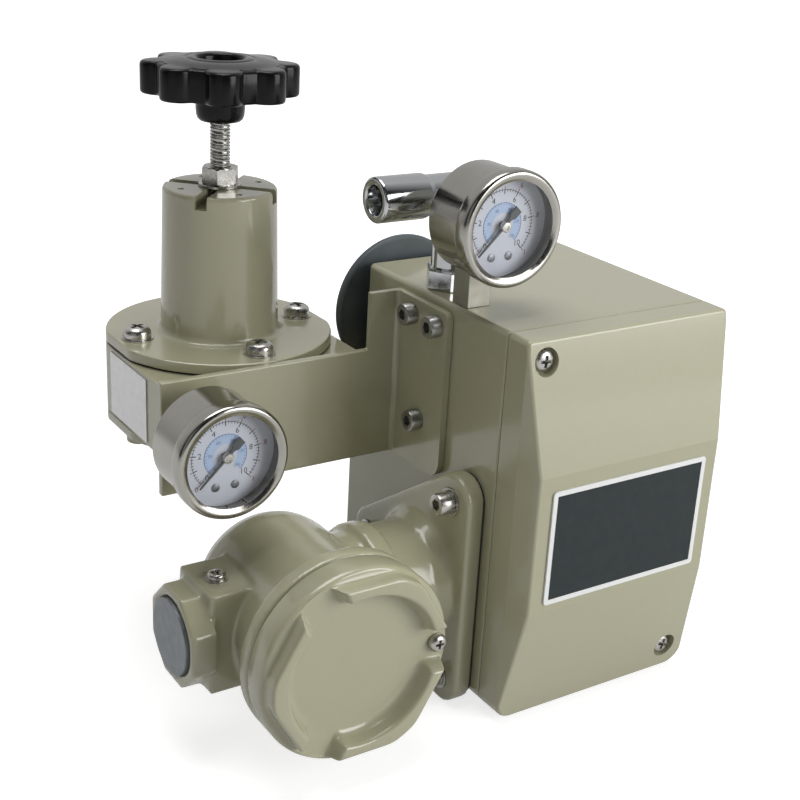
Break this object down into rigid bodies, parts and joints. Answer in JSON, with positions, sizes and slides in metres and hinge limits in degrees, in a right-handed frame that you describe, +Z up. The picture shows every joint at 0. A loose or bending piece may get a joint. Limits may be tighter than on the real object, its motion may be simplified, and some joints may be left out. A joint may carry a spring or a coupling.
{
  "type": "valve positioner",
  "caption": "Electro-pneumatic valve positioner with a bevelled front cover, side air-set regulator with handwheel, pressure gauges and a flameproof terminal box.",
  "frame": {"origin": "centre of the rear bolt pattern, on the face of the rear mounting pad", "axes": "+X to the right seen from the front, +Y to the rear out of the mounting pad, +Z up"},
  "size_m": [0.2115, 0.1896, 0.239],
  "materials": {
    "enamel": "glossy khaki-grey enamel on cast aluminium",
    "slate": "dark slate grey, satin",
    "label": "dark slate plate with a pale border",
    "steel": "bright zinc-plated or stainless steel",
    "chrome": "bright nickel plate",
    "brass": "machined brass",
    "rubber": "black nitrile rubber",
    "glass": "clear window",
    "dial": "white printed dial",
    "needle": "black painted pointer",
    "black_plastic": "glossy black phenolic",
    "terminal": "moulded terminal block",
    "iron": "plated soft iron",
    "copper": "enamelled copper winding",
    "aluminium": "bare aluminium plate"
  },
  "bodies": {
    "positioner": {"housing": "enamel", "cover_gasket": "rubber", "front_cover": "enamel", "cover_screws": "steel", "name_plate": "label", "feedback_bush": "brass", "feedback_spring": "steel", "torque_motor_yoke": "iron", "torque_motor_coil": "copper", "armature_beam": "steel", "nozzle_block": "brass", "pilot_relay": "aluminium", "zero_adjuster": "brass", "output_elbow": "chrome", "airset_bracket": "enamel", "bracket_screws": "steel", "supply_nipple": "brass", "regulator_body": "enamel", "regulator_base": "enamel", "regulator_bonnet": "enamel", "bonnet_screws": "steel", "bonnet_washers": "steel", "regulator_plate": "aluminium", "lock_nut": "steel", "range_spring": "steel", "diaphragm": "rubber", "diaphragm_plate": "aluminium", "valve_plug": "brass", "valve_spring": "steel", "junction_body": "enamel", "flange_gasket": "rubber", "flange_screws": "steel", "flange_washers": "steel", "terminal_block": "terminal", "terminal_screws": "brass", "conduit_plug": "aluminium", "ground_screw": "steel", "output_gauge_case": "steel", "output_gauge_bezel": "steel", "output_gauge_lens": "glass", "output_gauge_dial": "dial", "output_gauge_movement": "brass", "supply_gauge_case": "steel", "supply_gauge_bezel": "steel", "supply_gauge_lens": "glass", "supply_gauge_dial": "dial", "supply_gauge_movement": "brass"},
    "feedback": {"feedback_shaft": "steel", "feedback_disc": "slate", "feedback_lever": "steel"},
    "output_needle": {"output_gauge_needle": "needle"},
    "supply_needle": {"supply_gauge_needle": "needle"},
    "spring_seat": {"upper_spring_seat": "steel"},
    "adjuster": {"adjusting_screw": "steel", "handwheel": "black_plastic"},
    "cap_seal": {"cap_o_ring": "rubber"},
    "cap": {"junction_cap": "enamel", "cap_set_screw": "steel"}
  },
  "joints": [
    {"name": "feedback_turn", "type": "hinge", "parent": "positioner", "child": "feedback", "pos_m": [-0.03, 0, 0.089], "axis": [0, 1, 0], "range_deg": [-30, 30], "deforming": ["feedback_spring"]},
    {"name": "output_needle_turn", "type": "hinge", "parent": "positioner", "child": "output_needle", "pos_m": [-0.0408, -0.086, 0.1438], "axis": [0, 1, 0], "range_deg": [0, 270]},
    {"name": "supply_needle_turn", "type": "hinge", "parent": "positioner", "child": "supply_needle", "pos_m": [-0.14, -0.067, 0.06525], "axis": [0, 1, 0], "range_deg": [0, 270]},
    {"name": "adjuster_travel", "type": "slide", "parent": "positioner", "child": "spring_seat", "axis": [0, 0, 1], "range_m": [-0.0063, 0.00255], "deforming": ["range_spring"]},
    {"name": "handwheel_turn", "type": "hinge", "parent": "spring_seat", "child": "adjuster", "pos_m": [-0.105, 0.011, 0.18], "axis": [0, 0, 1], "range_deg": [-1800, 720]},
    {"name": "cap_travel", "type": "slide", "parent": "positioner", "child": "cap_seal", "axis": [0, -1, 0], "range_m": [0, 0.01002]},
    {"name": "cap_turn", "type": "hinge", "parent": "cap_seal", "child": "cap", "pos_m": [-0.113, -0.108, 0], "axis": [0, -1, 0], "range_deg": [0, 1800]}
  ],
  "couplings": [
    {"joint": "adjuster_travel", "follows": "handwheel_turn", "m_per_rad": 0.00019894},
    {"joint": "cap_travel", "follows": "cap_turn", "m_per_rad": 0.00031831}
  ]
}
